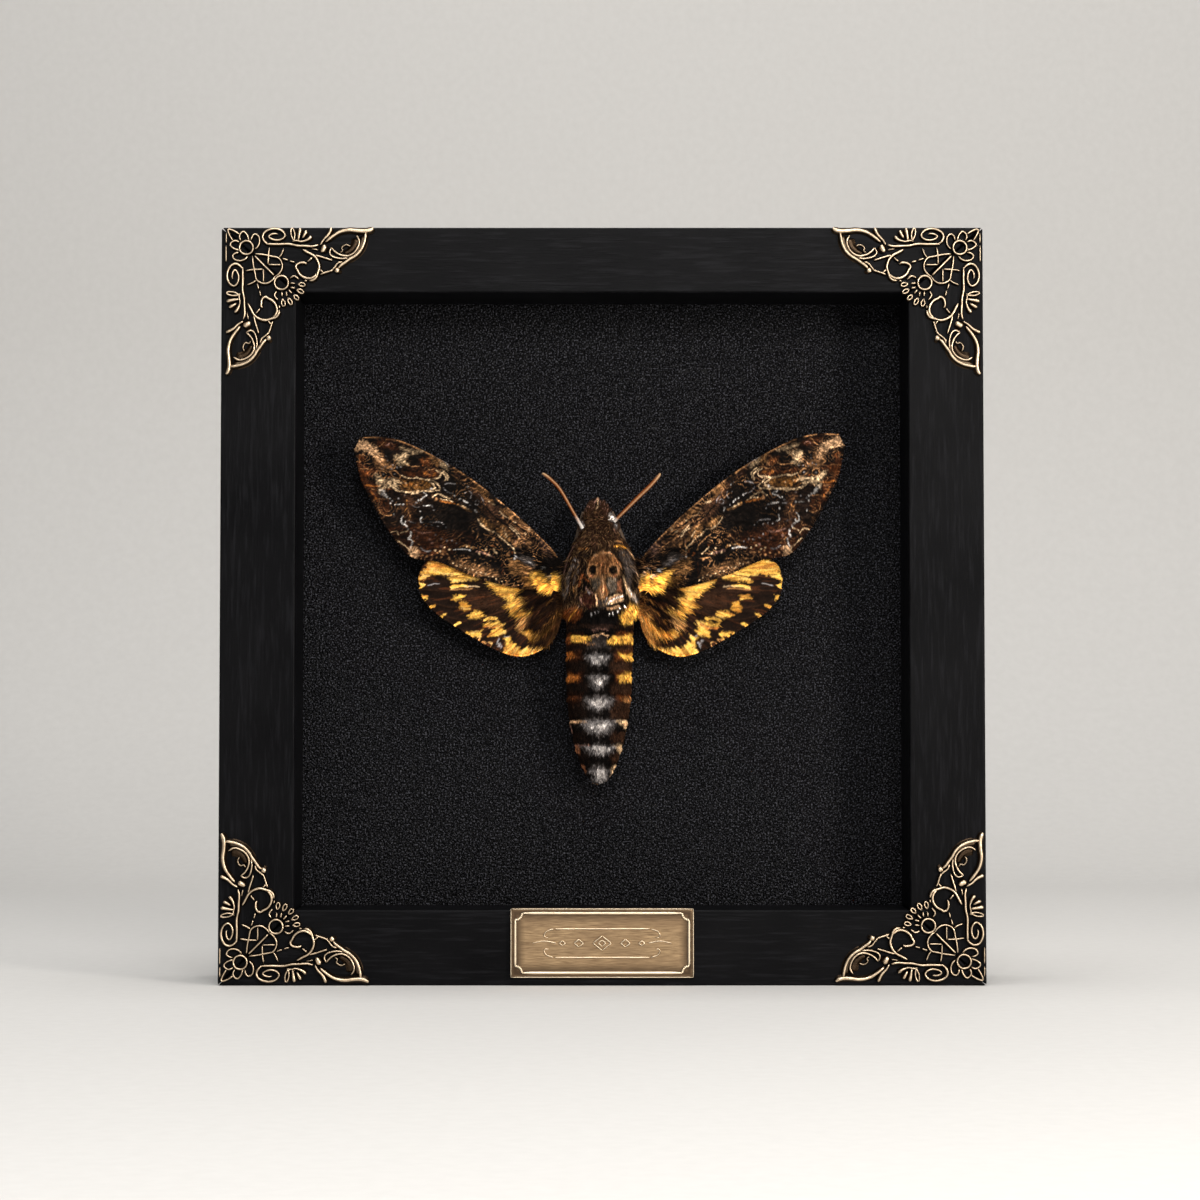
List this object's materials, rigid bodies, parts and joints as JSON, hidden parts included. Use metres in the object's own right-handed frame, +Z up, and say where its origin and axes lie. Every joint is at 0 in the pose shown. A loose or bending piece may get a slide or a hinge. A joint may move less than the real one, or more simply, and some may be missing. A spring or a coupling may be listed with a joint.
{
  "type": "death's-head hawkmoth mounted in a shadow box",
  "caption": "Spread hawkmoth with a skull-like chest mark, set in a square black shadow box with openwork brass corners and a blank brass plate.",
  "frame": {"origin": "middle of the case's footprint, on the surface it stands on", "axes": "+Z up, the case's open front facing -Y, +X to the right seen from the front"},
  "size_m": [0.1784, 0.0354, 0.177],
  "materials": {
    "black_wood": "satin black paint over fine open grain",
    "leatherette": "finely pebbled, dull",
    "hardboard": "plain brown hardboard",
    "antique_brass": "aged, dark in the hollows and worn bright on the ridges",
    "zinc_steel": "dull zinc plate",
    "body_fur": "dense short fur, dark brown and grey with a pale skull-like mark",
    "banded_fur": "short flat fur in dark and yellow bands",
    "eye": "dark and glossy",
    "feeler": "brown, paler at the root",
    "leg_scales": "flat brown scales",
    "forewing_scales": "blackish brown, mottled with cream and rust",
    "hindwing_scales": "golden yellow with two dark bands",
    "cork": "plain cork"
  },
  "bodies": {
    "root": {"rail_bottom": "black_wood", "rail_top": "black_wood", "rail_left": "black_wood", "rail_right": "black_wood", "mount_board": "leatherette", "back_panel": "hardboard", "corner_top_left": "antique_brass", "corner_top_right": "antique_brass", "corner_bottom_left": "antique_brass", "corner_bottom_right": "antique_brass", "name_plate": "antique_brass", "turn_button_1": "zinc_steel", "turn_button_2": "zinc_steel", "turn_button_3": "zinc_steel", "turn_button_4": "zinc_steel", "turn_screw_1": "zinc_steel", "turn_screw_2": "zinc_steel", "turn_screw_3": "zinc_steel", "turn_screw_4": "zinc_steel", "sawtooth_hanger": "zinc_steel", "head": "body_fur", "thorax": "body_fur", "abdomen": "banded_fur", "eye_left": "eye", "eye_right": "eye", "antenna_left": "feeler", "antenna_right": "feeler", "palp_left": "leg_scales", "palp_right": "leg_scales", "fore_leg_left": "leg_scales", "fore_leg_right": "leg_scales", "mid_leg_left": "leg_scales", "mid_leg_right": "leg_scales", "hind_leg_left": "leg_scales", "hind_leg_right": "leg_scales", "forewing_left": "forewing_scales", "forewing_right": "forewing_scales", "hindwing_left": "hindwing_scales", "hindwing_right": "hindwing_scales", "mount_pad": "cork"}
  },
  "joints": []
}
